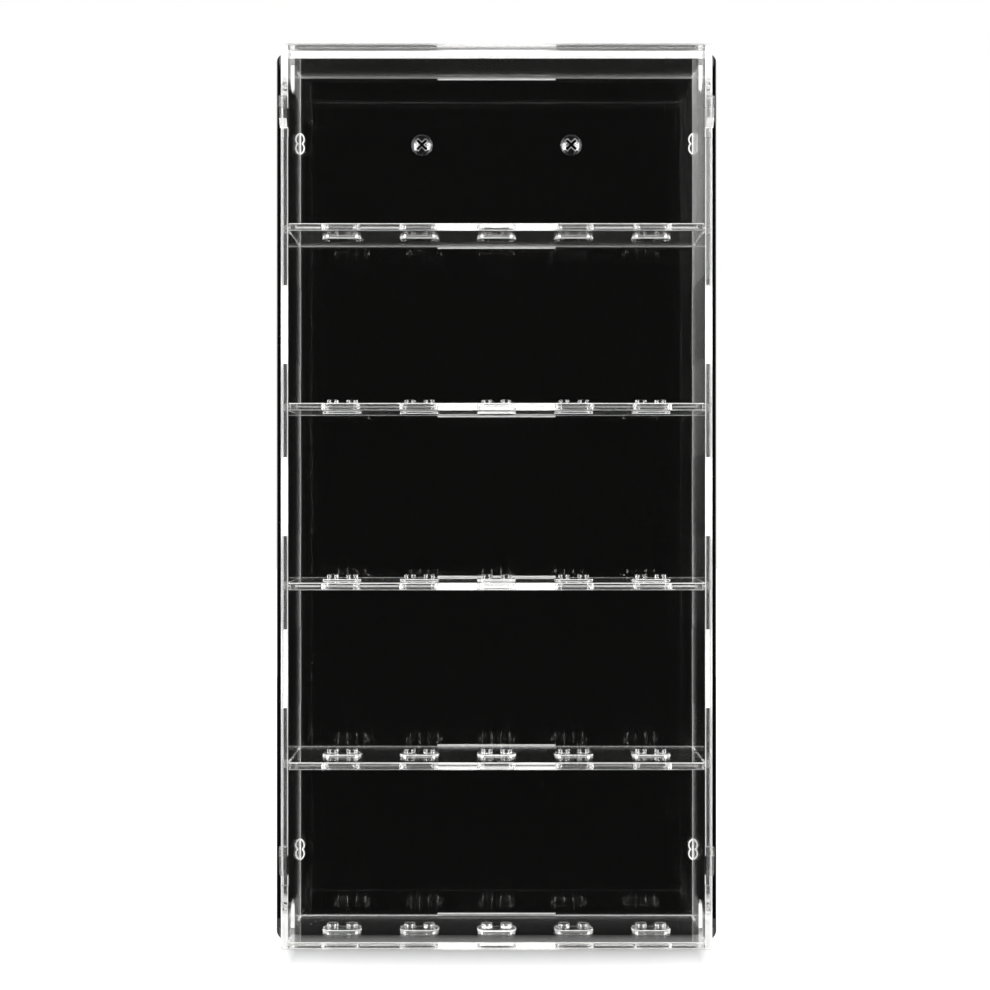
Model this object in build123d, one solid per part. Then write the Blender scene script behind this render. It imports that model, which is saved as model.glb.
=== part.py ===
from build123d import *
from math import sqrt
import os

# A wall-mounted display case for toy figures: clear sheets that slot together, a black back panel,
# stud stands on every level and a front panel that lifts off four hooks. Millimetres.
# X runs to the right, Y to the back, Z up. The origin is the middle of the back panel's rear face.

# Sheets and fits
sheet = 3.0               # thickness of every clear sheet
back_thickness = 5.0      # thickness of the black back panel
fit = 0.10                # gap between a tab, insert or stem and the sides of its slot
seat_gap = 0.05           # gap between two sheets that butt on each other
tab_recess = 0.20         # how far a rear tab stays inside the back panel's rear face
edge_break = 0.4          # small chamfer along the cut edges of the sheets

# The case
level_count = 5
compartment_height = 69.4  # clear height of one level
case_depth = 50.0          # depth of the clear sheets, from their front edges to the back panel
back_side_margin = 7.6     # how far the back panel reaches past the case's sides
back_end_margin = 8.2      # and past its top and bottom
back_corner_radius = 4.0

# Stud stands
stud_pitch = 8.0
stud_radius = 2.4
stud_height = 1.8
studs_per_stand = 2
stand_end_margin = 4.0    # from the outer stud's axis to the end of the insert
stand_width = 10.6        # front to back
stand_corner_radius = 3.5
stand_proud = 0.6         # how far the insert stands out of its sheet, above and below
stand_pitch = 32.0
stand_count = 5
stand_side_room = 20.0    # from the side panel to the middle of the nearest stand
stand_setback = 23.6      # from the sheets' front edges to the middle of the stands
stud_edge = 0.2
stand_edge = 0.3          # chamfer around the insert's top and bottom

# Tabs
rear_tab_width = 50.0     # of the top, bottom and shelves
side_rear_tab = 33.0      # of the side panels, one beside each inner level
end_tab_start = 10.5      # from the sheets' front edges to the end tabs
end_tab_length = 28.0
nib_start = 23.5          # from the sheets' front edges to the nibs that stand out of the sides
nib_length = 15.0
nib_proud = 3.4
relief_width = 14.0       # rounded relief in the side panels, next to the top and bottom panels
relief_reach = 13.4
relief_radius = 5.5

# Front panel and its hooks
front_thickness = 3.0
panel_play = 0.15         # gap in front of and behind the front panel
hook_from_end = 26.1      # from the case's end to the notch's top edge in the front panel
hook_height = 12.0
hook_root = 8.0           # height of the hook's root, which carries the panel
hook_lip = 3.0            # thickness of the lip in front of the panel
hook_taper = 3.0
notch_room = 0.1          # above and below the hook when the panel is lifted
notch_side_room = 0.5     # beside the hook
front_corner_radius = 1.5
front_inset = 0.4         # how far the panel's edges stay inside the case's outline

# Wall screws
screw_spacing = 64.0
screw_from_end = 31.7     # from the case's top down to the screws
screw_radius = 2.0        # over the thread, behind the back panel
screw_neck_radius = 1.7   # plain neck inside the back panel
screw_hole_room = 0.25
screw_reach = 25.0        # how far the shank stands out behind the back panel
screw_tip = 5.0
head_radius = 4.6
head_rim = 0.9
head_height = 2.7
recess_arm = 5.0
recess_slot = 1.0
recess_depth = 1.5
recess_pit_radius = 1.3   # at the head's top
recess_pit_floor = 0.4    # radius of the pit's floor

# Side clips
clip_from_end = 31.7      # from the case's end to the middle of the clip
clip_lobe_radius = 3.0
clip_lobe_offset = 1.87   # from the clip's middle to the middle of each lobe
clip_proud = 2.0          # how far the clip stands off the side panel
clip_wall = 0.6           # of the loop, towards the case's middle
clip_back_wall = 0.4      # of the loop, on the side panel
clip_length = 4.0         # front to back, in front of the back panel
clip_stem_height = 6.0
clip_stem_root = 1.4      # how far the stem reaches into the loop
clip_stem_depth = 2.6     # how deep the stem sits in the back panel

# Sizes that follow from the ones above
level_pitch = compartment_height + sheet
case_height = level_count * compartment_height + (level_count + 1) * sheet
inner_width = (stand_count - 1) * stand_pitch + 2 * stand_side_room
case_width = inner_width + 2 * sheet
half_height = case_height / 2
half_inner = inner_width / 2
half_case = case_width / 2
back_face = -back_thickness
rear_edge = back_face - seat_gap
front_edge = back_face - case_depth
stand_length = (studs_per_stand - 1) * stud_pitch + 2 * stand_end_margin
stand_y = front_edge + stand_setback
front_panel_rear = front_edge - panel_play
lip_rear = front_panel_rear - front_thickness - panel_play
lip_front = lip_rear - hook_lip
notch_height = hook_height + 2 * notch_room
panel_lift = hook_height - hook_root + notch_room - seat_gap
level_floors = [-half_height + sheet + index * level_pitch for index in range(level_count)]
tab_end = -tab_recess
clip_stem_end = back_face + clip_stem_depth


def block(x_low, x_high, y_low, y_high, z_low, z_high):
    """A plain box between six planes."""
    size = (x_high - x_low, y_high - y_low, z_high - z_low)
    middle = ((x_low + x_high) / 2, (y_low + y_high) / 2, (z_low + z_high) / 2)
    return Pos(*middle) * Box(*size)


def broken_block(x_low, x_high, y_low, y_high, z_low, z_high):
    """A box with a small chamfer along all its edges."""
    plain = block(x_low, x_high, y_low, y_high, z_low, z_high)
    thinnest = min(x_high - x_low, y_high - y_low, z_high - z_low)
    return chamfer(plain.edges(), min(edge_break, thinnest / 4))


def side_profile(points, x_low, x_high):
    """A plate in the plane of a side panel, from an outline of (y, z) points."""
    outline = [(x_low, y, z) for y, z in points]
    face = make_face(Polyline(*outline, close=True))
    return extrude(face, amount=x_high - x_low, dir=(1, 0, 0))


def stand_middles():
    """The X places of the stands on one level."""
    first = -(stand_count - 1) * stand_pitch / 2
    return [first + index * stand_pitch for index in range(stand_count)]


def stand_hole(x, z_low, z_high):
    """The rounded through hole that holds one stand's insert."""
    sketch = RectangleRounded(stand_length + 2 * fit, stand_width + 2 * fit, stand_corner_radius + fit)
    return extrude(Pos(x, stand_y, z_low - sheet) * sketch, amount=z_high - z_low + 2 * sheet)


def level_sheet(z_low, with_nibs, with_stands):
    """The top, the bottom or a shelf: a plate with a rear tab, two end tabs and stand holes."""
    z_high = z_low + sheet
    plate = broken_block(-half_inner + seat_gap, half_inner - seat_gap, front_edge, rear_edge, z_low, z_high)
    plate += block(-rear_tab_width / 2, rear_tab_width / 2, rear_edge - sheet, tab_end, z_low, z_high)
    tab_front = front_edge + end_tab_start
    plate += block(-half_case, half_case, tab_front, tab_front + end_tab_length, z_low, z_high)
    if with_nibs:
        nib_front = front_edge + nib_start
        nib_reach = half_case + nib_proud
        plate += block(-nib_reach, nib_reach, nib_front, nib_front + nib_length, z_low, z_high)
    if with_stands:
        for x in stand_middles():
            plate -= stand_hole(x, z_low, z_high)
    return plate


def hook(notch_top, x_low, x_high):
    """One upward hook on the front edge of a side panel, under the notch's top edge."""
    root_top = notch_top - seat_gap
    bottom = root_top - hook_root
    top = bottom + hook_height
    inside = front_edge + sheet
    points = [
        (inside, bottom),
        (lip_front + hook_taper, bottom),
        (lip_front, bottom + hook_taper),
        (lip_front, top),
        (lip_rear, top),
        (lip_rear, root_top),
        (inside, root_top),
    ]
    return side_profile(points, x_low, x_high)


def notch_tops():
    """The Z places of the top edges of the front panel's notches, upper and lower."""
    upper = half_height - hook_from_end
    lower = -half_height + hook_from_end + notch_height
    return [upper, lower]


def relief(end, x_low, x_high):
    """The rounded opening beside the top panel (end 1) or the bottom panel (end -1)."""
    corner = min(relief_radius, relief_width / 2 - fit, relief_reach / 2)
    start = half_height - sheet
    height = relief_reach + corner + sheet
    middle_y = front_edge + end_tab_start - fit + relief_width / 2
    middle_z = end * (start - relief_reach + height / 2)
    plane = Plane(origin=(x_low - sheet, middle_y, middle_z), x_dir=(0, 1, 0), z_dir=(1, 0, 0))
    outline = plane * RectangleRounded(relief_width, height, corner)
    opening = extrude(outline, amount=x_high - x_low + 2 * sheet)
    low, high = sorted((end * (start - relief_reach - sheet), end * (half_height - sheet)))
    return opening & block(x_low - sheet, x_high + sheet, front_edge, rear_edge, low, high)


def side_panel(side):
    """The left (side -1) or right (side 1) panel: tabs, hooks, slots and reliefs."""
    x_low, x_high = sorted((side * half_inner, side * half_case))
    panel = broken_block(x_low, x_high, front_edge, rear_edge, -half_height, half_height)
    for floor in level_floors[1:-1]:
        middle = floor + compartment_height / 2
        z_low = middle - side_rear_tab / 2
        panel += block(x_low, x_high, rear_edge - sheet, tab_end, z_low, z_low + side_rear_tab)
    for notch_top in notch_tops():
        panel += hook(notch_top, x_low, x_high)
    slot_front = front_edge + end_tab_start - fit
    slot_rear = front_edge + end_tab_start + end_tab_length + fit
    for floor in level_floors + [half_height]:
        z_low = floor - sheet - fit
        z_high = floor + fit
        panel -= block(x_low - sheet, x_high + sheet, slot_front, slot_rear, z_low, z_high)
    for end in (-1, 1):
        panel -= relief(end, x_low, x_high)
    return panel


def back_panel():
    """The black panel: rounded corners, a slot for every rear tab, clip pockets and screw holes."""
    width = case_width + 2 * back_side_margin
    height = case_height + 2 * back_end_margin
    plane = Plane(origin=(0, 0, 0), x_dir=(1, 0, 0), z_dir=(0, -1, 0))
    panel = extrude(plane * RectangleRounded(width, height, back_corner_radius), amount=back_thickness)
    rims = panel.faces().sort_by(Axis.Y)
    panel = chamfer(rims[0].edges() + rims[-1].edges(), edge_break)
    y_low = back_face - sheet
    y_high = sheet
    half_tab = rear_tab_width / 2 + fit
    for floor in level_floors + [half_height]:
        panel -= block(-half_tab, half_tab, y_low, y_high, floor - sheet - fit, floor + fit)
    for side in (-1, 1):
        x_low, x_high = sorted((side * (half_inner - fit), side * (half_case + fit)))
        for floor in level_floors[1:-1]:
            middle = floor + compartment_height / 2
            z_low = middle - side_rear_tab / 2 - fit
            panel -= block(x_low, x_high, y_low, y_high, z_low, z_low + side_rear_tab + 2 * fit)
        for z in clip_places():
            panel -= clip_stem(side, z, fit, y_low, clip_stem_end + fit)
    for x in (-screw_spacing / 2, screw_spacing / 2):
        hole = Cylinder(screw_radius + screw_hole_room, 2 * back_thickness + 2 * sheet)
        panel -= Pos(x, back_face / 2, half_height - screw_from_end) * Rot(90, 0, 0) * hole
    return panel


def clip_places():
    """The Z places of the upper and lower clips."""
    return [half_height - clip_from_end, -half_height + clip_from_end]


def clip_stem(side, z, room, y_low, y_high):
    """The bar of a clip that passes through the back panel, grown by room for its slot."""
    inner = side * (half_inner - seat_gap - clip_proud + clip_wall - room)
    outer = side * (half_inner - seat_gap + room)
    x_low, x_high = sorted((inner, outer))
    half = clip_stem_height / 2 + room
    return block(x_low, x_high, y_low, y_high, z - half, z + half)


def clip_profile(side, z, lobe_radius, flat):
    """Two merged lobes, cut flat beside the side panel. The lobes bulge towards the case's middle."""
    wall_x = side * (half_inner - seat_gap)
    centre_x = wall_x + side * (clip_lobe_radius - clip_proud)
    plane = Plane(origin=(0, rear_edge, 0), x_dir=(1, 0, 0), z_dir=(0, -1, 0))
    lobes = Pos(centre_x, z + clip_lobe_offset) * Circle(lobe_radius)
    lobes += Pos(centre_x, z - clip_lobe_offset) * Circle(lobe_radius)
    solid = extrude(plane * lobes, amount=clip_length)
    keep_low, keep_high = sorted((wall_x - side * flat, wall_x - side * 2 * clip_lobe_radius))
    reach = clip_lobe_offset + clip_lobe_radius + sheet
    return solid & block(keep_low, keep_high, rear_edge - 2 * clip_length, back_face, z - reach, z + reach)


def side_clip(side, z):
    """A springy loop with two lobes that presses on the side panel, on a stem in the back panel."""
    loop = clip_profile(side, z, clip_lobe_radius, 0)
    loop -= clip_profile(side, z, clip_lobe_radius - clip_wall, clip_back_wall)
    loop += clip_stem(side, z, 0, rear_edge - clip_stem_root, clip_stem_end)
    return loop


def stud_stand(x, floor):
    """An insert a little thicker than its sheet, with studs on top."""
    sketch = RectangleRounded(stand_length, stand_width, stand_corner_radius)
    top = floor + stand_proud
    height = sheet + 2 * stand_proud
    stand = extrude(Pos(x, stand_y, top - height) * sketch, amount=height)
    rims = stand.faces().sort_by(Axis.Z)
    stand = chamfer(rims[0].edges() + rims[-1].edges(), stand_edge)
    first = x - (studs_per_stand - 1) * stud_pitch / 2
    for index in range(studs_per_stand):
        stud = Pos(0, 0, (stud_height - sheet) / 2) * Cylinder(stud_radius, stud_height + sheet)
        rim = stud.edges().filter_by(GeomType.CIRCLE).sort_by(Axis.Z)[-1]
        stud = chamfer(rim, stud_edge)
        stand += Pos(first + index * stud_pitch, stand_y, top) * stud
    return stand


def front_panel():
    """The removable front: a plate with rounded corners and four notches in its side edges."""
    plane = Plane(origin=(0, front_panel_rear, 0), x_dir=(1, 0, 0), z_dir=(0, -1, 0))
    width = case_width - 2 * front_inset
    height = case_height - 2 * front_inset
    outline = plane * RectangleRounded(width, height, front_corner_radius)
    panel = extrude(outline, amount=front_thickness)
    rims = panel.faces().sort_by(Axis.Y)
    panel = chamfer(rims[0].edges() + rims[-1].edges(), edge_break)
    y_low = lip_rear - sheet
    y_high = front_edge + sheet
    for notch_top in notch_tops():
        for side in (-1, 1):
            x_low, x_high = sorted((side * (half_inner - notch_side_room), side * (half_case + sheet)))
            panel -= block(x_low, x_high, y_low, y_high, notch_top - notch_height, notch_top)
    return panel


def wall_screw(x):
    """A cross-head screw, head in front of the back panel and shank through it to the wall."""
    rise = head_height - head_rim
    dome_radius = (head_radius ** 2 + rise ** 2) / (2 * rise)
    half_way = head_radius / 2
    half_rise = head_rim + rise - dome_radius + sqrt(dome_radius ** 2 - half_way ** 2)
    neck = -back_thickness
    length = back_thickness + screw_reach
    outline = Polyline((0, -length), (screw_radius, screw_tip - length), (screw_radius, neck))
    outline += Polyline((screw_radius, neck), (screw_neck_radius, neck), (screw_neck_radius, 0))
    outline += Polyline((screw_neck_radius, 0), (head_radius, 0), (head_radius, head_rim))
    outline += ThreePointArc((head_radius, head_rim), (half_way, half_rise), (0, head_height))
    outline += Line((0, head_height), (0, -length))
    profile = make_face(Plane.XZ * outline)
    screw = revolve(profile, Axis.Z)
    pit_top = head_height
    upright = (Align.CENTER, Align.CENTER, Align.MIN)
    for turn in (0, 90):
        arm = Pos(0, 0, pit_top) * Box(recess_arm, recess_slot, 2 * recess_depth)
        screw -= Rot(0, 0, turn) * arm
    pit = Cone(recess_pit_floor, recess_pit_radius, recess_depth, align=upright)
    screw -= Pos(0, 0, pit_top - recess_depth) * pit
    return Pos(x, back_face, half_height - screw_from_end) * Rot(90, 0, 0) * screw


def build():
    """Every piece of the case, by its name."""
    pieces = {"back_panel": back_panel()}
    pieces["left_side"] = side_panel(-1)
    pieces["right_side"] = side_panel(1)
    pieces["bottom_panel"] = level_sheet(-half_height, True, True)
    pieces["top_panel"] = level_sheet(half_height - sheet, True, False)
    for index, floor in enumerate(level_floors[1:], start=1):
        pieces[f"shelf_{index}"] = level_sheet(floor - sheet, False, True)
    for level, floor in enumerate(level_floors, start=1):
        for place, x in enumerate(stand_middles(), start=1):
            pieces[f"stud_stand_{level}_{place}"] = stud_stand(x, floor)
    for side, word in ((-1, "left"), (1, "right")):
        for z, height in zip(clip_places(), ("upper", "lower")):
            pieces[f"side_clip_{height}_{word}"] = side_clip(side, z)
        pieces[f"wall_screw_{word}"] = wall_screw(side * screw_spacing / 2)
    pieces["front_panel"] = front_panel()
    return pieces


os.makedirs("parts", exist_ok=True)
for name, piece in build().items():
    export_step(piece, f"parts/{name}.step")
print("front panel lifts", round(panel_lift, 3))
print("case", case_width, case_height, "stands at y", round(stand_y, 3))
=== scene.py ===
import math
import bmesh
import bpy
import numpy as np
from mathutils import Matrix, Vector


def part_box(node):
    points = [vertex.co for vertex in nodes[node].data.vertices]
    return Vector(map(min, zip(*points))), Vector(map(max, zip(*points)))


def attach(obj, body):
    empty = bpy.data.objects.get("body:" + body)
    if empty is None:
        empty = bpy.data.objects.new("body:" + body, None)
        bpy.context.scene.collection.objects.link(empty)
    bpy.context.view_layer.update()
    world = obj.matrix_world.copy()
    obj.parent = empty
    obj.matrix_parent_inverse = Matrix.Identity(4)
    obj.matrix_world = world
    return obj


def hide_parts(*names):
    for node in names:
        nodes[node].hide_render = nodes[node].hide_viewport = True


# A wall-mounted figure display case: clear slotted sheets on a black gloss back, with small twin-stud
# stands on every level. The solids come from the frame. This script gives them their finish, puts
# stands with rounded rims and threaded wall screws in place of the plain ones, and sets up a plain
# pale studio.

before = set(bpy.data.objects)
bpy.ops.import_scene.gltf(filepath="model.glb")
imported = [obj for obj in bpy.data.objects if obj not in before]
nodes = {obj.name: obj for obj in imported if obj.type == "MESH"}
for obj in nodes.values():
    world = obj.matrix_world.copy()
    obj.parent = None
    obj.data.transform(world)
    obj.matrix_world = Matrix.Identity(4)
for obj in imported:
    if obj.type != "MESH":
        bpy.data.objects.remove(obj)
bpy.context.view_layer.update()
print("stage frame:", len(nodes), "nodes")


# Shared effects, as node groups

# An empty shader group. Inputs are (name, type, default), outputs are (name, type).
def newGroup(name, inputs, outputs):
    group = bpy.data.node_groups.new(name, "ShaderNodeTree")
    for label, kind, value in inputs:
        socket = group.interface.new_socket(name=label, in_out="INPUT", socket_type=kind)
        socket.default_value = value
    for label, kind in outputs:
        group.interface.new_socket(name=label, in_out="OUTPUT", socket_type=kind)
    return group, group.nodes.new("NodeGroupInput"), group.nodes.new("NodeGroupOutput")


# One Math node. Each operand is a socket or a number.
def addMath(tree, operation, first, second=None):
    node = tree.nodes.new("ShaderNodeMath")
    node.operation = operation
    for slot, value in zip(node.inputs, (first, second)):
        if value is None:
            continue
        if isinstance(value, (int, float)):
            slot.default_value = value
        else:
            tree.links.new(value, slot)
    return node.outputs[0]


# Math nodes of one operation in a row: the first two values, then the result with each further one.
def addChain(tree, operation, *values):
    result = values[0]
    for value in values[1:]:
        result = addMath(tree, operation, result, value)
    return result


# One clamped Map Range node on a value.
def addMapRange(tree, value, fromLow, fromHigh, toLow, toHigh):
    node = tree.nodes.new("ShaderNodeMapRange")
    tree.links.new(value, node.inputs["Value"])
    ends = {"From Min": fromLow, "From Max": fromHigh, "To Min": toLow, "To Max": toHigh}
    for label, number in ends.items():
        if isinstance(number, (int, float)):
            node.inputs[label].default_value = number
        else:
            tree.links.new(number, node.inputs[label])
    return node.outputs["Result"]


# A height wrapped to one level of the case: how far it is from the nearest whole level.
def addWrapped(tree, height, pitch):
    node = tree.nodes.new("ShaderNodeMath")
    node.operation = "WRAP"
    tree.links.new(height, node.inputs[0])
    node.inputs[1].default_value = pitch / 2
    node.inputs[2].default_value = -pitch / 2
    return node.outputs[0]


# One colour mix by a share. Each colour is a socket or three numbers.
def addTone(tree, share, first, second):
    node = tree.nodes.new("ShaderNodeMix")
    node.data_type = "RGBA"
    tree.links.new(share, node.inputs["Factor"])
    for slot, color in ((6, first), (7, second)):
        if isinstance(color, tuple):
            node.inputs[slot].default_value = (*color, 1)
        else:
            tree.links.new(color, node.inputs[slot])
    return node.outputs[2]


# One Noise Texture node, its value output.
def addNoise(tree, vector, scale, detail, roughness=0.5):
    node = tree.nodes.new("ShaderNodeTexNoise")
    node.inputs["Detail"].default_value = detail
    node.inputs["Roughness"].default_value = roughness
    if isinstance(scale, (int, float)):
        node.inputs["Scale"].default_value = scale
    else:
        tree.links.new(scale, node.inputs["Scale"])
    tree.links.new(vector, node.inputs["Vector"])
    return node.outputs["Fac"]


# Cut edges of a sheet. A point is on a cut edge where its normal is square to the sheet's thickness
# axis, and on a broken corner where it is halfway. The beam leaves fine lines along the thickness:
# noise of the position with its part along that axis taken out, so each line runs straight through.
def cutEdgeGroup():
    group, source, sink = newGroup(
        "cutEdge",
        [("Normal", "NodeSocketVector", (0, 0, 1)), ("Position", "NodeSocketVector", (0, 0, 0)),
         ("Thickness Axis", "NodeSocketVector", (0, 0, 1)), ("Front", "NodeSocketVector", (0, -1, 0)),
         ("Line Density", "NodeSocketFloat", 900.0),
         ("Face Roughness", "NodeSocketFloat", 0.01), ("Edge Roughness", "NodeSocketFloat", 0.4),
         ("Polished Roughness", "NodeSocketFloat", 0.05), ("Corner Roughness", "NodeSocketFloat", 0.6)],
        [("Roughness", "NodeSocketFloat"), ("Lines", "NodeSocketFloat")])

    def vectorStep(operation, first, second):
        node = group.nodes.new("ShaderNodeVectorMath")
        node.operation = operation
        group.links.new(first, node.inputs[0])
        group.links.new(second, node.inputs["Scale"] if operation == "SCALE" else node.inputs[1])
        return node

    axis, normal = source.outputs["Thickness Axis"], source.outputs["Normal"]
    across = addMath(group, "ABSOLUTE", vectorStep("DOT_PRODUCT", normal, axis).outputs["Value"])
    edge = addMapRange(group, across, 0.5, 0.2, 0.0, 1.0)
    corner = addMath(group, "MULTIPLY", addMapRange(group, across, 0.4, 0.6, 0.0, 1.0),
                     addMapRange(group, across, 0.8, 0.95, 1.0, 0.0))
    along = vectorStep("DOT_PRODUCT", source.outputs["Position"], axis).outputs["Value"]
    flat = vectorStep("SUBTRACT", source.outputs["Position"], vectorStep("SCALE", axis, along).outputs[0])
    lines = addNoise(group, flat.outputs[0], source.outputs["Line Density"], 2.0, 0.6)
    marked = addMath(group, "MULTIPLY", lines, edge)
    # Edges that face the front are polished, the others are as cut
    facing = vectorStep("DOT_PRODUCT", normal, source.outputs["Front"]).outputs["Value"]
    cut = addMapRange(group, facing, 0.6, 0.9, source.outputs["Edge Roughness"],
                      source.outputs["Polished Roughness"])
    streaks = addMapRange(group, lines, 0.3, 0.7, 0.6, 1.4)
    spread = addChain(group, "MULTIPLY", edge, streaks, cut)
    broken = addMath(group, "MULTIPLY", corner, source.outputs["Corner Roughness"])
    rough = addChain(group, "ADD", spread, broken, source.outputs["Face Roughness"])
    group.links.new(rough, sink.inputs["Roughness"])
    group.links.new(marked, sink.inputs["Lines"])
    return group


# Slight handling marks: broad clouds, from 0 to 1.
def handlingGroup():
    group, source, sink = newGroup(
        "handling",
        [("Position", "NodeSocketVector", (0, 0, 0)), ("Cloud Scale", "NodeSocketFloat", 18.0)],
        [("Cloud", "NodeSocketFloat")])
    cloud = addNoise(group, source.outputs["Position"], source.outputs["Cloud Scale"], 4.0)
    group.links.new(addMapRange(group, cloud, 0.35, 0.75, 0.0, 1.0), sink.inputs["Cloud"])
    return group


cutEdge = cutEdgeGroup()
handling = handlingGroup()
sideways, endways, upright = (1, 0, 0), (0, 1, 0), (0, 0, 1)


# A node material with its tree, its Principled shader and object coordinates.
def newMaterial(name):
    material = bpy.data.materials.new(name)
    material.use_nodes = True
    tree = material.node_tree
    shader = tree.nodes["Principled BSDF"]
    places = tree.nodes.new("ShaderNodeTexCoord")
    return material, tree, shader, places


# A group node in a material, with the inputs that values names set.
def placeGroup(tree, group, values):
    node = tree.nodes.new("ShaderNodeGroup")
    node.node_tree = group
    for label, value in values.items():
        node.inputs[label].default_value = value
    return node


# The roughness of a finish: its plain value, and a little more in the clouds of the handling marks.
def addCloudyRoughness(tree, places, finish):
    marks = placeGroup(tree, handling, {"Cloud Scale": finish["cloudScale"]})
    tree.links.new(places.outputs["Object"], marks.inputs["Position"])
    spread = addMath(tree, "MULTIPLY", marks.outputs["Cloud"], finish["cloudRoughness"])
    return addMath(tree, "ADD", spread, finish["roughness"])


# The part of the normal along the thickness axis (1 on a face, 0 on a cut edge, about 0.7 on a
# broken corner), and the x, y and z parts of the normal and of the place.
def addSurface(tree, places, thicknessAxis):
    across = tree.nodes.new("ShaderNodeVectorMath")
    across.operation = "DOT_PRODUCT"
    tree.links.new(places.outputs["Normal"], across.inputs[0])
    across.inputs[1].default_value = thicknessAxis
    normal = tree.nodes.new("ShaderNodeSeparateXYZ")
    tree.links.new(places.outputs["Normal"], normal.inputs[0])
    place = tree.nodes.new("ShaderNodeSeparateXYZ")
    tree.links.new(places.outputs["Object"], place.inputs[0])
    return {"across": addMath(tree, "ABSOLUTE", across.outputs["Value"]),
            "normal": normal.outputs, "place": place.outputs}


# 1 near the top and bottom ends of the case, where the joints are cemented, and 0 elsewhere.
def addEnds(tree, surface, ends):
    return addMapRange(tree, addMath(tree, "ABSOLUTE", surface["place"]["Z"]), ends[0], ends[1], 0.0, 1.0)


# The matt share of edges and corners. Dust lies on corners that face up, the saw leaves the rear edges
# rougher, and cement clouds the front edges near the ends.
def addFrost(tree, surface, frost, ends):
    across, normal = surface["across"], surface["normal"]
    upward = addMapRange(tree, normal["Z"], -0.5, 0.5, frost["cornerDown"], frost["cornerUp"])
    broken = addMapRange(tree, normal["Y"], 0.2, 0.6, upward, frost["cornerRear"])
    corner = addChain(tree, "MULTIPLY", addMapRange(tree, across, 0.4, 0.6, 0.0, 1.0),
                      addMapRange(tree, across, 0.8, 0.95, 1.0, 0.0), broken)
    polished = frost["front"]
    if ends:
        cemented = addEnds(tree, surface, ends)
        polished = addMapRange(tree, cemented, 0.0, 1.0, frost["front"], frost["frontEnds"])
    cut = addMapRange(tree, normal["Y"], -0.9, -0.6, polished, frost["cut"])
    cut = addMapRange(tree, normal["Y"], 0.6, 0.9, cut, frost["rear"])
    edge = addMath(tree, "MULTIPLY", addMapRange(tree, across, 0.2, 0.5, 1.0, 0.0), cut)
    return addMath(tree, "ADD", corner, edge)


# The haze share by depth: it grows from the front edge to the back as a power of the depth.
def addDepthShare(tree, surface, haze):
    front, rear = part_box("shelf_1")[0][1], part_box("back_panel")[0][1]
    depth = addMapRange(tree, surface["place"]["Y"], front, rear, 0.0, 1.0)
    depth = addMath(tree, "POWER", depth, haze["growth"])
    return addMapRange(tree, depth, 0.0, 1.0, haze["front"], haze["rear"])


# The share of a face that a haze of fine dust covers: facing to a power, where facing is 1 at a low
# angle, times the depth share. Where the haze has a second profile for its lower part, the depth share
# passes from that one to the main one with the square of the height.
def addHaze(tree, places, surface, haze):
    weight = tree.nodes.new("ShaderNodeLayerWeight")
    weight.inputs["Blend"].default_value = 0.5
    facing = weight.outputs["Facing"]
    depth = addDepthShare(tree, surface, haze)
    if "below" in haze:
        height = addMapRange(tree, surface["place"]["Z"], *haze["rise"], 0.0, 1.0)
        lower = addDepthShare(tree, surface, haze["below"])
        depth = addMapRange(tree, addMath(tree, "POWER", height, 2.0), 0.0, 1.0, lower, depth)
    cloud = addNoise(tree, places.outputs["Object"], haze["cloudScale"], 4.0)
    cloud = addMapRange(tree, cloud, 0.3, 0.7, haze["cloudLow"], 1.0)
    share = addChain(tree, "MULTIPLY", addMath(tree, "POWER", facing, haze["grazing"]), depth, cloud)
    if "tabs" in haze:
        share = addMath(tree, "MULTIPLY", share, addTabMarks(tree, places, surface, haze["tabs"]))
        cement = addMath(tree, "POWER", facing, haze["endGrazing"])
        cement = addChain(tree, "MULTIPLY", cement, addEnds(tree, surface, haze["ends"]), haze["endShare"])
        share = addMath(tree, "MAXIMUM", share, cement)
    if "upward" in haze:
        # Upper faces are wiped clean more often than undersides
        wiped = addMapRange(tree, surface["normal"]["Z"], -0.5, 0.5, 1.0, haze["upward"])
        share = addMath(tree, "MULTIPLY", share, wiped)
    face = addMapRange(tree, surface["across"], 0.9, 0.98, 0.0, 1.0)
    # In mirror images the haze is thin, so the black panel stays black beside it
    path = tree.nodes.new("ShaderNodeLightPath")
    mirrored = addMapRange(tree, path.outputs["Is Glossy Ray"], 0.0, 1.0, 1.0, haze["mirrored"])
    return addMath(tree, "MINIMUM", addChain(tree, "MULTIPLY", share, face, mirrored), 1.0)


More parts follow.
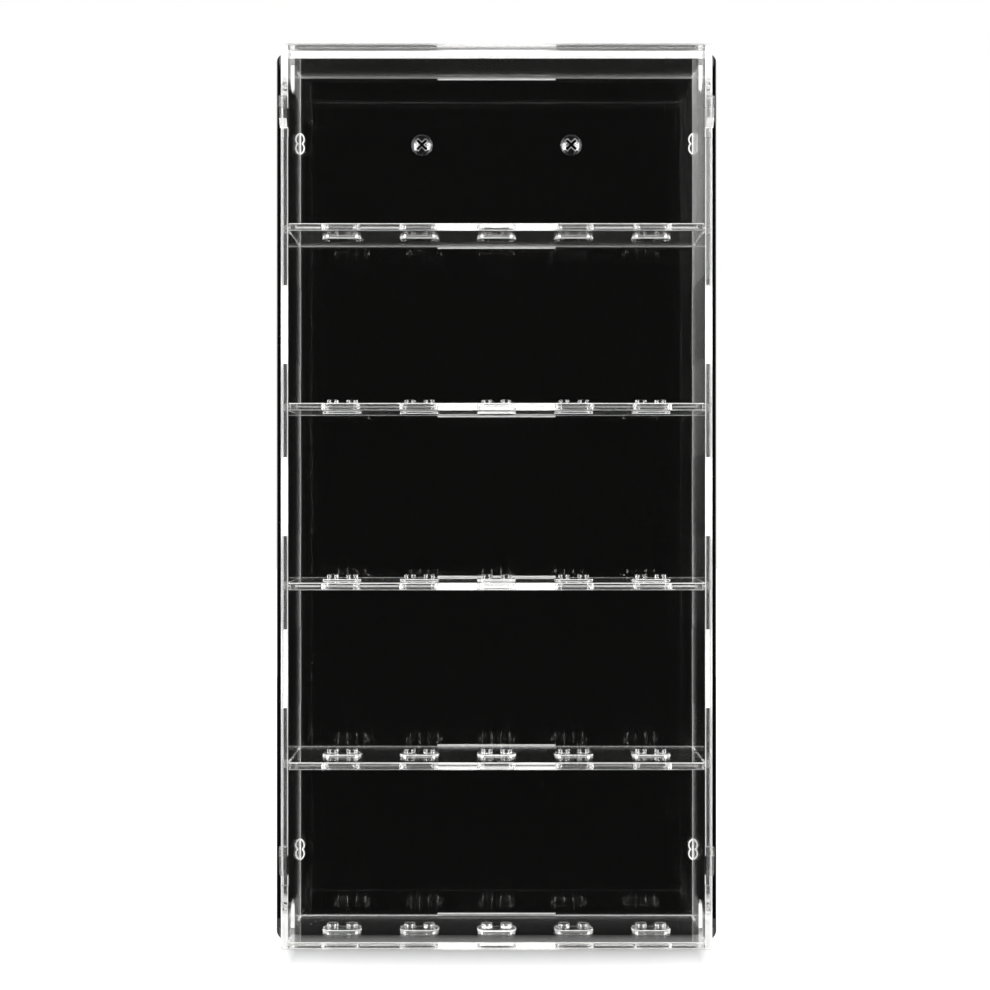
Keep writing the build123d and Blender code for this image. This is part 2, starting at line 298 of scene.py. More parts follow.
# Beside each rear tab of a side panel the haze is thinner, with fine level stripes from the cut, and
# it stops at the tab's upper end. The height above the nearest tab's middle is the height wrapped to
# one level, and a stripe is half a sine wave of the height.
def addTabMarks(tree, places, surface, tabs):
    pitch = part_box("shelf_2")[0][2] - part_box("shelf_1")[0][2]
    half = tabs["half"]
    place = surface["place"]["Z"]
    height = addWrapped(tree, place, pitch)
    inside = addMapRange(tree, addMath(tree, "ABSOLUTE", height), half - tabs["soft"], half, 1.0, 0.0)
    rows = [levels * pitch for levels in tabs["rows"]]
    middle = addMapRange(tree, addMath(tree, "ABSOLUTE", place), *rows, 1.0, 0.0)
    inside = addMath(tree, "MULTIPLY", inside, middle)
    wobble = addNoise(tree, places.outputs["Object"], tabs["wobbleScale"], 2.0)
    phase = addMath(tree, "ADD", addMath(tree, "MULTIPLY", place, 2 * math.pi / tabs["stripePitch"]),
                    addMath(tree, "MULTIPLY", wobble, tabs["wobble"]))
    stripe = addMapRange(tree, addMath(tree, "SINE", phase), -1.0, 1.0, 0.0, 1.0)
    loss = addMath(tree, "ADD", addMath(tree, "MULTIPLY", stripe, tabs["stripeLoss"]), tabs["loss"])
    tab = addMath(tree, "SUBTRACT", 1.0, addMath(tree, "MULTIPLY", inside, loss))
    end = addMath(tree, "ABSOLUTE", addMath(tree, "SUBTRACT", height, half))
    line = addMapRange(tree, end, *tabs["line"], tabs["lineShare"], 1.0)
    line = addMapRange(tree, middle, 0.0, 1.0, 1.0, line)
    return addMath(tree, "MULTIPLY", tab, line)


# A clear surface that lets the lamps' light through: glass, with a matt share, and transparent to
# the rays that look for a lamp.
def coverGlass(tree, shader, matt, color, shadowTint):
    frost = tree.nodes.new("ShaderNodeBsdfDiffuse")
    frost.inputs["Color"].default_value = (*color, 1)
    covered = tree.nodes.new("ShaderNodeMixShader")
    tree.links.new(matt, covered.inputs[0])
    tree.links.new(shader.outputs[0], covered.inputs[1])
    tree.links.new(frost.outputs[0], covered.inputs[2])
    clear = tree.nodes.new("ShaderNodeBsdfTransparent")
    clear.inputs["Color"].default_value = (*shadowTint, 1)
    path = tree.nodes.new("ShaderNodeLightPath")
    final = tree.nodes.new("ShaderNodeMixShader")
    tree.links.new(path.outputs["Is Shadow Ray"], final.inputs[0])
    tree.links.new(covered.outputs[0], final.inputs[1])
    tree.links.new(clear.outputs[0], final.inputs[2])
    output = next(node for node in tree.nodes if node.type == "OUTPUT_MATERIAL")
    tree.links.new(final.outputs[0], output.inputs["Surface"])


# The clear sheets

clearSheet = {
    "tint": (0.99, 0.99, 0.985),
    "ior": 1.49,
    "faceRoughness": 0.0,
    "edgeRoughness": 0.07,
    "polishedRoughness": 0.03,
    "cornerRoughness": 0.5,
    "lineDensity": 1300.0,   # per metre, for the beam's marks on cut edges
    "lineDepth": 0.000004,   # metres
    "frostColor": (0.93, 0.93, 0.92),
    "shadowTint": (0.94, 0.94, 0.94),
}
# Matt shares of broken corners and of edges
sheetFrost = {"cornerUp": 0.75, "cornerDown": 0.15, "cornerRear": 0.3, "front": 0.02, "frontEnds": 0.7,
              "cut": 0.05, "rear": 0.03}
frontFrost = {"cornerUp": 0.3, "cornerDown": 0.1, "cornerRear": 0.2, "front": 0.03, "cut": 0.03, "rear": 0.03}
# Marks beside the rear tabs of the side panels, in metres. The rows are heights from the case's middle,
# in levels, between which the tabs end.
sideTabs = {"half": 0.0166, "soft": 0.0006, "rows": (1.3, 1.35), "loss": 0.3, "stripePitch": 0.0006,
            "stripeLoss": 0.24, "wobbleScale": 250.0, "wobble": 7.0,
            "line": (0.0001, 0.0004), "lineShare": 0.25}
# Haze: the share at the front and rear, how it grows between them, how quickly it thins out away from
# a low angle, and the share of it that mirror images keep. The side panels' cemented ends begin
# between two heights from the case's middle, and the right side's haze rises between two heights.
dust = {"grazing": 5.0, "cloudScale": 30.0, "cloudLow": 0.88}
sideHaze = {**dust, "mirrored": 0.3, "tabs": sideTabs,
            "ends": (0.1665, 0.1695), "endShare": 0.6, "endGrazing": 3.0}
leftHaze = {**sideHaze, "front": 0.02, "rear": 4.0, "growth": 9.0}
rightHaze = {**sideHaze, "front": 0.95, "rear": 2.2, "growth": 1.0, "below": leftHaze, "rise": (-0.09, 0.13)}
shelfHaze = {**dust, "mirrored": 1.0, "front": 0.08, "rear": 3.0, "growth": 14.0, "upward": 0.25}


# Polished clear sheet with marked cut edges. thicknessAxis is square to the sheet, and haze is empty
# on a sheet without haze.
def clearSheetMaterial(name, thicknessAxis, frost, haze):
    material, tree, shader, places = newMaterial(name)
    shader.inputs["Base Color"].default_value = (*clearSheet["tint"], 1)
    shader.inputs["IOR"].default_value = clearSheet["ior"]
    shader.inputs["Transmission Weight"].default_value = 1.0
    edge = placeGroup(tree, cutEdge, {
        "Thickness Axis": thicknessAxis, "Line Density": clearSheet["lineDensity"],
        "Face Roughness": clearSheet["faceRoughness"], "Edge Roughness": clearSheet["edgeRoughness"],
        "Polished Roughness": clearSheet["polishedRoughness"],
        "Corner Roughness": clearSheet["cornerRoughness"]})
    tree.links.new(places.outputs["Normal"], edge.inputs["Normal"])
    tree.links.new(places.outputs["Object"], edge.inputs["Position"])
    tree.links.new(edge.outputs["Roughness"], shader.inputs["Roughness"])
    bump = tree.nodes.new("ShaderNodeBump")
    bump.inputs["Distance"].default_value = clearSheet["lineDepth"]
    tree.links.new(edge.outputs["Lines"], bump.inputs["Height"])
    tree.links.new(bump.outputs["Normal"], shader.inputs["Normal"])
    surface = addSurface(tree, places, thicknessAxis)
    cover = addFrost(tree, surface, frost, haze.get("ends"))
    if haze:
        cover = addMath(tree, "MAXIMUM", cover, addHaze(tree, places, surface, haze))
    coverGlass(tree, shader, cover, clearSheet["frostColor"], clearSheet["shadowTint"])
    return material


# The black back panel

blackSheet = {
    "color": (0.0016, 0.0015, 0.0014),
    "paintedSlotLight": (0.8, 0.8, 0.79),
    "lipHeight": 0.0007,     # height of the light painted on each slot's lip, metres
    "lipHalf": 0.0254,       # half its length, a shelf tab's and the gap beside it
    "lipFade": 0.00015,      # width over which it fades out
    "ior": 1.49,
    "roughness": 0.002,
    "cloudRoughness": 0.004,
    "cloudScale": 18.0,
}


# 1 on the lips of the tab slots, on the side towards the case's middle, where light from the white behind the
# panel is painted on them. The height from the nearest sheet's middle is the height wrapped to one level.
def addPaintedSlotLight(tree, places):
    place = tree.nodes.new("ShaderNodeSeparateXYZ")
    tree.links.new(places.outputs["Object"], place.inputs[0])
    low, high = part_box("shelf_1")
    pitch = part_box("shelf_2")[0][2] - low[2]
    half = (high[2] - low[2]) / 2
    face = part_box("back_panel")[0][1]
    fade, reach = blackSheet["lipFade"], blackSheet["lipHalf"]
    far = half + blackSheet["lipHeight"]
    height = addWrapped(tree, addMath(tree, "SUBTRACT", place.outputs["Z"], low[2] + half), pitch)
    inwards = addChain(tree, "MULTIPLY", height, addMath(tree, "SIGN", place.outputs["Z"]), -1.0)
    across = addMath(tree, "ABSOLUTE", place.outputs["X"])
    return addChain(
        tree, "MULTIPLY",
        addMapRange(tree, inwards, far - fade, far, 1.0, 0.0),
        addMapRange(tree, inwards, half, half + fade, 0.0, 1.0),
        addMapRange(tree, across, reach - fade, reach, 1.0, 0.0),
        addMapRange(tree, place.outputs["Y"], face + fade, face + 2 * fade, 1.0, 0.0))


# Black gloss sheet with very slight handling marks, and painted light on the slot lips.
def blackSheetMaterial():
    material, tree, shader, places = newMaterial("blackAcrylic")
    # Painted light: a pale line on each slot's lip, where the white behind the panel shows through the gap
    tone = addTone(tree, addPaintedSlotLight(tree, places), blackSheet["color"], blackSheet["paintedSlotLight"])
    tree.links.new(tone, shader.inputs["Base Color"])
    shader.inputs["IOR"].default_value = blackSheet["ior"]
    tree.links.new(addCloudyRoughness(tree, places, blackSheet), shader.inputs["Roughness"])
    return material


# The moulded clear inserts and clips

clearInsert = {
    "tint": (0.99, 0.99, 0.985),
    "ior": 1.49,
    "roughness": 0.02,
    "cloudRoughness": 0.03,
    "cloudScale": 260.0,
    "coatIor": 1.7,          # the skin of the moulding, which takes strong lamp reflections
    "coatRoughness": 0.04,
    "rimHighlightFrost": 0.8,         # matt share of an insert's front rim, a painted highlight
    "clipFrost": 0.95,       # of a clip's front face
    "clipWallFrost": 0.35,
    "clipFace": 0.003,       # how far from the back panel the clips' front face begins, metres
    "clipFade": 0.0003,      # over how far its cloudiness begins
}


# Moulded clear plastic: smooth, a little less even than sheet.
def insertMaterial(name):
    material, tree, shader, places = newMaterial(name)
    shader.inputs["Base Color"].default_value = (*clearInsert["tint"], 1)
    shader.inputs["IOR"].default_value = clearInsert["ior"]
    shader.inputs["Transmission Weight"].default_value = 1.0
    shader.inputs["Coat Weight"].default_value = 1.0
    shader.inputs["Coat IOR"].default_value = clearInsert["coatIor"]
    shader.inputs["Coat Roughness"].default_value = clearInsert["coatRoughness"]
    tree.links.new(addCloudyRoughness(tree, places, clearInsert), shader.inputs["Roughness"])
    return material, tree, shader, places


# The stands: clear, with a matt white front rim that the mesh's own attribute marks, which paints the rim's
# highlight.
def clearStandMaterial():
    material, tree, shader, places = insertMaterial("clearStand")
    rim = tree.nodes.new("ShaderNodeAttribute")
    rim.attribute_name = "rim"
    # Painted highlight: a matt white share on the front rim only
    frost = addMath(tree, "MULTIPLY", rim.outputs["Fac"], clearInsert["rimHighlightFrost"])
    coverGlass(tree, shader, frost, clearSheet["frostColor"], clearSheet["shadowTint"])
    return material


# The clips: cloudy on the front face, fairly clear elsewhere.
def clearClipMaterial():
    material, tree, shader, places = insertMaterial("clearClip")
    surface = addSurface(tree, places, endways)
    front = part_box("back_panel")[0][1] - clearInsert["clipFace"]
    face = addMapRange(tree, surface["place"]["Y"], front - clearInsert["clipFade"], front, 1.0, 0.0)
    facing = addMapRange(tree, surface["normal"]["Y"], -0.9, -0.5,
                         clearInsert["clipFrost"], clearInsert["clipWallFrost"])
    frost = addMath(tree, "MULTIPLY", face, facing)
    coverGlass(tree, shader, frost, clearSheet["frostColor"], clearSheet["shadowTint"])
    return material


# The wall screws

wallScrew = {
    "color": (0.2, 0.2, 0.205),
    "recessColor": (0.02, 0.02, 0.02),
    "glintColor": (0.9, 0.9, 0.9),
    "roughness": 0.05,
    "cloudRoughness": 0.05,
    "cloudScale": 600.0,
    "glintRoughness": 0.4,    # added at the recess's edge, in the painted glint
}


# Plated steel, dark in the cross recess, with a painted glint at the recess's edge: a band of brighter, rougher
# steel.
def screwMaterial():
    material, tree, shader, places = newMaterial("screwSteel")
    mark = tree.nodes.new("ShaderNodeAttribute")
    mark.attribute_name = "recess"
    deep = addMapRange(tree, mark.outputs["Fac"], 0.5, 0.6, 0.0, 1.0)
    # Painted glint: a band of brighter, rougher steel at the recess's edge
    glint = addMapRange(tree, mark.outputs["Fac"], 0.2, 0.35, 0.0, 1.0)
    glint = addMath(tree, "MULTIPLY", glint, addMath(tree, "SUBTRACT", 1.0, deep))
    tone = addTone(tree, glint, wallScrew["color"], wallScrew["glintColor"])
    tree.links.new(addTone(tree, deep, tone, wallScrew["recessColor"]), shader.inputs["Base Color"])
    shader.inputs["Metallic"].default_value = 1.0
    rough = addMath(tree, "ADD", addCloudyRoughness(tree, places, wallScrew),
                    addMath(tree, "MULTIPLY", glint, wallScrew["glintRoughness"]))
    tree.links.new(rough, shader.inputs["Roughness"])
    return material


# Finishes on the nodes

finishes = {
    "back_panel": blackSheetMaterial(),
    "left_side": clearSheetMaterial("clearLeftSide", sideways, sheetFrost, leftHaze),
    "right_side": clearSheetMaterial("clearRightSide", sideways, sheetFrost, rightHaze),
    "front_panel": clearSheetMaterial("clearFront", endways, frontFrost, {}),
    "shelf": clearSheetMaterial("clearShelf", upright, sheetFrost, shelfHaze),
    "stud_stand": clearStandMaterial(),
    "side_clip": clearClipMaterial(),
    "wall_screw": screwMaterial(),
}
finishes["top_panel"] = finishes["bottom_panel"] = finishes["shelf"]

for name, node in nodes.items():
    finish = next(finishes[start] for start in finishes if name.startswith(start))
    node.data.materials.clear()
    node.data.materials.append(finish)
print("stage finishes:", len(bpy.data.materials), "materials")


# The stands' own surface, in place of the plain solids: a base with rounded rims and two studs.
# Millimetres, turned into metres at the end.

standShape = {
    "length": 16.0, "width": 10.6, "corner": 3.5, "baseHeight": 4.2, "rimRound": 0.3, "rimSteps": 5,
    "flatMargin": 0.04,      # between a rim's round and the flat's own edge
    "rimBand": 0.35,         # height of the matt band below the top rim and above the bottom rim
    "bandFade": 0.1,
    "frontShare": 2.2,       # how quickly the matt share rises where the rim turns to the front
    "studRadius": 2.4, "studHeight": 1.8, "studPitch": 8.0, "studRound": 0.2, "studFoot": 0.12, "studSides": 48,
}


# A rounded rectangle pulled in by inset: four corner arcs, each its centre plus (corner - inset) times
# (cos a, sin a). Gives points and outward directions.
def roundedOutline(length, width, corner, inset, perCorner=15):
    quarter = np.linspace(0, math.pi / 2, perCorner)
    angles = np.concatenate([quarter + turn * math.pi / 2 for turn in range(4)])
    signs = np.repeat(np.array([(1, 1), (-1, 1), (-1, -1), (1, -1)]), perCorner, axis=0)
    centres = signs * np.array([length / 2 - corner, width / 2 - corner])
    outward = np.stack([np.cos(angles), np.sin(angles)], axis=1)
    return centres + (corner - inset) * outward, outward


# Quads between consecutive closed rings of the same count: (i, j), (i, j + 1), (i + 1, j + 1), (i + 1, j).
def ringFaces(rings, count, first=0):
    ring = np.arange(count)
    following = (ring + 1) % count
    rows = first + np.arange(rings - 1)[:, None] * count
    quads = np.stack([rows + ring, rows + following, rows + count + following, rows + count + ring], axis=2)
    return quads.reshape(-1, 4)


# The base is the outline carried up a profile of (inset, height) with a quarter round at each rim. A
# stud is a circle carried up a profile of (radius, height) with a hollow foot and a round top edge.
# The flat between them is filled with triangles. Every vertex has its share of the matt front rim, the painted
# highlight.
def standMesh():
    shape = standShape
    bend = np.linspace(0, math.pi / 2, shape["rimSteps"])
    sink, lift = 1 - np.sin(bend), 1 - np.cos(bend)
    r, base = shape["rimRound"], -shape["baseHeight"]
    low = np.stack([r * sink, base + r * lift], axis=1)
    high = np.stack([r * lift, -r * sink], axis=1)
    band = np.array([(0.0, base + shape["rimBand"]), (0.0, base + shape["rimBand"] + shape["bandFade"]),
                     (0.0, -shape["rimBand"] - shape["bandFade"]), (0.0, -shape["rimBand"])])
    flats = np.array([(r + shape["flatMargin"], base), (r + shape["flatMargin"], 0.0)])
    profile = np.vstack([flats[:1], low, band, high, flats[1:]])
    matt = np.concatenate([[0], np.ones(len(low) + 1), np.zeros(2), np.ones(len(high) + 1), [0]])
    rings = [roundedOutline(shape["length"], shape["width"], shape["corner"], inset) for inset in profile[:, 0]]
    count = len(rings[0][0])
    sides = [np.column_stack([ring[0], np.full(count, height)]) for ring, height in zip(rings, profile[:, 1])]
    front = np.clip(-rings[0][1][:, 1] * shape["frontShare"], 0, 1)
    rim = (matt[:, None] * front[None, :]).ravel()
    foot, top, radius = shape["studFoot"], shape["studRound"], shape["studRadius"]
    footProfile = np.stack([radius + foot * sink, foot * lift], axis=1)
    topProfile = np.stack([radius - top * lift, shape["studHeight"] - top * sink], axis=1)
    studProfile = np.vstack([footProfile, topProfile, [(radius * 0.5, shape["studHeight"])]])
    turns = np.linspace(0, 2 * math.pi, shape["studSides"], endpoint=False)
    points, faces = [np.concatenate(sides)], [ringFaces(len(profile), count)]
    start = len(points[0])
    closing = [list(range(count))[::-1]]
    feet = [list(range(start - count, start))]
    for side in (-0.5, 0.5):
        x = side * shape["studPitch"] + studProfile[:, :1] * np.cos(turns)
        y = studProfile[:, :1] * np.sin(turns)
        height = np.repeat(studProfile[:, 1:], turns.size, axis=1)
        points.append(np.stack([x, y, height], axis=2).reshape(-1, 3))
        faces.append(ringFaces(len(studProfile), turns.size, start))
        feet.append(list(range(start, start + turns.size)))
        start += len(points[-1])
        closing.append(list(range(start - turns.size, start)))
    points = np.concatenate(points)
    rim = np.concatenate([rim, np.zeros(len(points) - len(rim))])
    work = bmesh.new()
    corners = [work.verts.new(point) for point in points]
    for face in np.concatenate(faces).tolist() + closing:
        work.faces.new([corners[index] for index in face])
    edges = []
    for loop in feet:
        for first, second in zip(loop, loop[1:] + loop[:1]):
            edges.append(work.edges.get((corners[first], corners[second])))
    bmesh.ops.triangle_fill(work, use_beauty=True, edges=edges, normal=(0, 0, 1))
    bmesh.ops.recalc_face_normals(work, faces=work.faces)
    mesh = bpy.data.meshes.new("standShape")
    work.to_mesh(mesh)
    work.free()
    mesh.polygons.foreach_set("use_smooth", np.ones(len(mesh.polygons), dtype=bool))
    mesh.set_sharp_from_angle(angle=math.radians(35))
    mesh.attributes.new("rim", "FLOAT", "POINT").data.foreach_set("value", rim.astype(np.float32))
    return mesh


# Puts a finished copy of a mesh in a node's place, on the case.
def fitPiece(mesh, name, node):
    piece = bpy.data.objects.new(name, mesh)
    bpy.context.scene.collection.objects.link(piece)
    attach(piece, "case")
    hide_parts(node)


def makeStands():
    template = standMesh()
    template.materials.append(finishes["stud_stand"])
    flat = np.empty(len(template.vertices) * 3, dtype=np.float32)
    template.vertices.foreach_get("co", flat)
    shape = flat.reshape(-1, 3)
    for node in [name for name in nodes if name.startswith("stud_stand")]:
        low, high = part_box(node)
        top = high[2] - 0.001 * standShape["studHeight"]
        middle = np.array([(low[0] + high[0]) / 2, (low[1] + high[1]) / 2, top])
        mesh = template.copy()
        mesh.vertices.foreach_set("co", (shape * 0.001 + middle).astype(np.float32).ravel())
        mesh.update()
        fitPiece(mesh, node + "_round", node)
    bpy.data.meshes.remove(template)


makeStands()
print("stage stands")


# The wall screws' own surface, in place of the plain solids: a domed head with a cross recess, a neck,
# a core with a tip, and a thread round it. Millimetres, turned into metres at the end.

screwShape = {
    "headRadius": 4.6, "rimHeight": 0.9, "headHeight": 2.7, "rimRound": 0.25,
    "rimEdge": 0.12,         # how far inside and below the rim its round begins
    "innerRings": (0.04, 2.9, 64), "outerRings": (2.95, 14),   # radii of the dome's rings and their number
    "rimSteps": 6, "sides": 192,
    "armLength": 2.9, "armHalfWidth": 0.62, "recessDepth": 1.5, "armEndDepth": 0.8, "wallSoftness": 0.12,
    "crossTurn": 45.0,       # degrees
    "markWidth": 1.2,        # of the band over which the recess's mark runs from 0 to 1
    "neckRadius": 1.7, "neckLength": 5.0,
    "coreRadius": 1.45, "threadRadius": 2.0, "threadPitch": 1.7, "threadStart": 0.5, "threadEnd": 23.6,
    "coreEnd": 20.0, "tipEnd": 24.8,
    "threadSteps": 36,       # per turn
    "threadFoot": 0.94,      # radius of the thread's foot, as a share of the core's
    "fadeTurns": (0.8, 1.2),
}


# A smooth step from 0 to 1: 3 v^2 - 2 v^3.
def softStep(value):
    value = np.clip(value, 0.0, 1.0)
    return value * value * (3 - 2 * value)


# A surface of revolution: ring i of the profile (radius r(i), height h(i)) at the angles a(j) is
# (r cos a, -h, r sin a). On the dome the height drops by the cross recess. Both ends close in a pole.
# The third value is 0.5 at the recess's edge and runs to 1 inside and to 0 outside over the mark width.
def screwBody():
    shape = screwShape
    rise = shape["headHeight"] - shape["rimHeight"]
    dome = (shape["headRadius"] ** 2 + rise ** 2) / (2 * rise)
    outerStart, outerCount = shape["outerRings"]
    radii = np.concatenate([np.linspace(*shape["innerRings"]),
                            np.linspace(outerStart, shape["headRadius"] - shape["rimEdge"], outerCount)])
    heights = shape["headHeight"] - dome + np.sqrt(dome ** 2 - radii ** 2)
    bend = np.linspace(0.15, 1.0, shape["rimSteps"]) * math.pi / 2
    rimRadii = shape["headRadius"] - shape["rimRound"] * (1 - np.sin(bend))
    rimHeights = shape["rimHeight"] - shape["rimEdge"] + shape["rimRound"] * (np.cos(bend) - 0.2)
    head, neck, core = shape["headRadius"], shape["neckRadius"], shape["coreRadius"]
    start, length, tip = -shape["neckLength"], shape["coreEnd"], shape["tipEnd"]
    # The head's underside, the neck, the core and the tip, as (radius, height)
    below = np.array([
        (head, 0.25), (head - 0.1, 0.06), (head - 0.3, 0.0),
        (neck, 0.0), (neck, -0.2), (neck, start + 0.2),
        (core, start), (core, start - length / 2), (core, start - length),
        (core * 0.55, start - (length + tip) / 2), (0.12, start - tip + 0.1)])
    r = np.concatenate([radii, rimRadii, below[:, 0]])
    h = np.concatenate([heights, rimHeights, below[:, 1]])
    angles = np.linspace(0, 2 * math.pi, shape["sides"], endpoint=False)
    x = r[:, None] * np.cos(angles)
    z = r[:, None] * np.sin(angles)
    y = np.repeat(h[:, None], angles.size, axis=1)
    width, arm, soft = shape["armHalfWidth"], shape["armLength"], shape["wallSoftness"]
    turn = math.radians(shape["crossTurn"])
    along = np.abs(x * math.cos(turn) + z * math.sin(turn))
    aside = np.abs(z * math.cos(turn) - x * math.sin(turn))
    arms = np.maximum(softStep((width - along) / soft + 0.5) * softStep((arm - aside) / soft + 0.5),
                      softStep((width - aside) / soft + 0.5) * softStep((arm - along) / soft + 0.5))
    reach = np.minimum(np.maximum(along - width, aside - arm), np.maximum(aside - width, along - arm))
    slope = np.clip(np.hypot(x, z) / arm, 0, 1)
    depth = arms * (shape["recessDepth"] + (shape["armEndDepth"] - shape["recessDepth"]) * slope)
    y[:radii.size] -= depth[:radii.size]
    points = np.stack([x, -y, z], axis=2).reshape(-1, 3)
    ends = np.array([[0, shape["recessDepth"] - shape["headHeight"], 0], [0, tip - start, 0]])
    count = angles.size
    ring = np.arange(count)
    following = (ring + 1) % count
    rows = np.arange(r.size - 1)[:, None] * count
    quads = np.stack([rows + ring, rows + count + ring, rows + count + following, rows + following], axis=2)
    last = (r.size - 1) * count
    opening = np.stack([np.full(count, points.shape[0]), ring, following], axis=1)
    closing = np.stack([np.full(count, points.shape[0] + 1), last + following, last + ring], axis=1)
    recess = np.clip(0.5 - reach / shape["markWidth"], 0, 1)
    recess[radii.size:] = 0
    recess = np.concatenate([recess.ravel(), [1.0, 0.0]])
    faces = quads.reshape(-1, 4).tolist() + opening.tolist() + closing.tolist()
    return np.vstack([points, ends]), faces, recess


# A ridge along a helix: at the turn t the point v of its seven-point profile lies at the radius
# foot + share(v) * (crest - foot) and at the depth start + pitch * t + width(v). It fades in and out,
# and the last point closes the profile inside the core.
def screwThread():
    shape = screwShape
    turns = (shape["threadEnd"] - shape["threadStart"]) / shape["threadPitch"]
    t = np.linspace(0, turns, int(turns * shape["threadSteps"]))
    depth = shape["threadStart"] + shape["threadPitch"] * t
    taper = np.clip((shape["tipEnd"] - depth) / (shape["tipEnd"] - shape["coreEnd"]), 0.05, 1.0)
    fadeIn, fadeOut = shape["fadeTurns"]
    fade = softStep(t / fadeIn) * softStep((turns - t) / fadeOut)
    flatFoot = shape["coreRadius"] * shape["threadFoot"]
    foot = shape["coreRadius"] * taper * shape["threadFoot"]
    crest = foot + (shape["threadRadius"] - flatFoot) * (0.15 + 0.85 * fade) * np.sqrt(taper)
    share = np.array([0.0, 0.85, 1.0, 1.0, 0.85, 0.0, 0.0])
    width = np.array([-0.48, -0.12, -0.05, 0.05, 0.12, 0.48, 0.0])
    radius = foot[:, None] + share * (crest - foot)[:, None]
    radius[:, 6] = foot * 0.8
    angle = 2 * math.pi * t[:, None]
    along = shape["neckLength"] + depth[:, None] + width
    points = np.stack([radius * np.cos(angle), along, radius * np.sin(angle)], axis=2).reshape(-1, 3)
    count = share.size
    ends = [list(range(count))[::-1], list(range(len(points) - count, len(points)))]
    return points, ringFaces(t.size, count).tolist() + ends


def makeScrew(node):
    bodyPoints, bodyFaces, recess = screwBody()
    threadPoints, threadFaces = screwThread()
    low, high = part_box(node)
    middle = np.array([(low[0] + high[0]) / 2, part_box("back_panel")[0][1], (low[2] + high[2]) / 2])
    points = np.vstack([bodyPoints, threadPoints]) * 0.001 + middle
    faces = bodyFaces + [[index + len(bodyPoints) for index in face] for face in threadFaces]
    mesh = bpy.data.meshes.new(node + "_threaded")
    mesh.from_pydata(points.tolist(), [], faces)
    work = bmesh.new()
    work.from_mesh(mesh)
    bmesh.ops.recalc_face_normals(work, faces=work.faces)
    work.to_mesh(mesh)
    work.free()
    mesh.polygons.foreach_set("use_smooth", np.ones(len(mesh.polygons), dtype=bool))
    mesh.set_sharp_from_angle(angle=math.radians(50))
    recess = np.concatenate([recess, np.zeros(len(threadPoints))])
    mesh.attributes.new("recess", "FLOAT", "POINT").data.foreach_set("value", recess.astype(np.float32))
    mesh.materials.append(finishes["wall_screw"])
    fitPiece(mesh, node + "_threaded", node)


for side in ("left", "right"):
    makeScrew("wall_screw_" + side)
print("stage screws")


# Studio

studio = {
    "floorColor": 0.42,
    "floorLift": 0.8,          # extra white of the floor in the camera's view, near the case
    "floorFar": (0.2, 0.9),    # distances between which it rises to full white
    "floorShade": 0.06,        # distance from the case's foot at which the painted contact shadow ends
    "floorFade": 0.7,          # how the painted shadow fades: the power of the distance
    "floorDark": 0.02,         # painted shade colour in its middle
    "floorBeside": 5.0,        # how much faster it fades beside the case than in front
    "floorBehind": 6.0,        # and behind it
    "floorSplit": -0.045,      # the case's mirror images take in no floor in front of this line
    "worldWhite": 1.0,         # room behind and beside the case
    "worldBackdrop": 2.2,      # the same behind the case, seen through clear sheet
    "worldFront": 0.04,        # room in front, above and below
    "worldBeside": 1.0,        # room left and right
    "worldThrough": 0.75,      # share of it that shows through clear sheet
    "worldDark": 0.02,         # dark part of the room behind the camera
    "rearCosines": (-0.1, 0.3),     # from the rear axis, between which the room behind begins
    "besideCosines": (0.5, 0.85),   # from the side axis, between which the room beside begins
    "darkCosines": (0.85, 0.95),    # from the front axis, between which the room turns dark
}
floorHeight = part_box("back_panel")[0][2]


# A level rectangle at the back panel's lower edge: a grid of points x(i), y(j) in the XY plane.
def makeFloor(name, nearY, farY, halfWidth):
    count = 5
    across, deep = np.linspace(-halfWidth, halfWidth, count), np.linspace(nearY, farY, count)
    xs, ys = np.meshgrid(across, deep, indexing="ij")
    points = np.stack([xs.ravel(), ys.ravel(), np.full(xs.size, floorHeight)], axis=1)
    corner = (np.arange(count - 1)[:, None] * count + np.arange(count - 1)[None, :]).ravel()
    faces = np.stack([corner, corner + count, corner + count + 1, corner + 1], axis=1)
    mesh = bpy.data.meshes.new(name)
    mesh.from_pydata(points.tolist(), [], faces.tolist())
    floor = bpy.data.objects.new(name, mesh)
    bpy.context.scene.collection.objects.link(floor)
    return floor
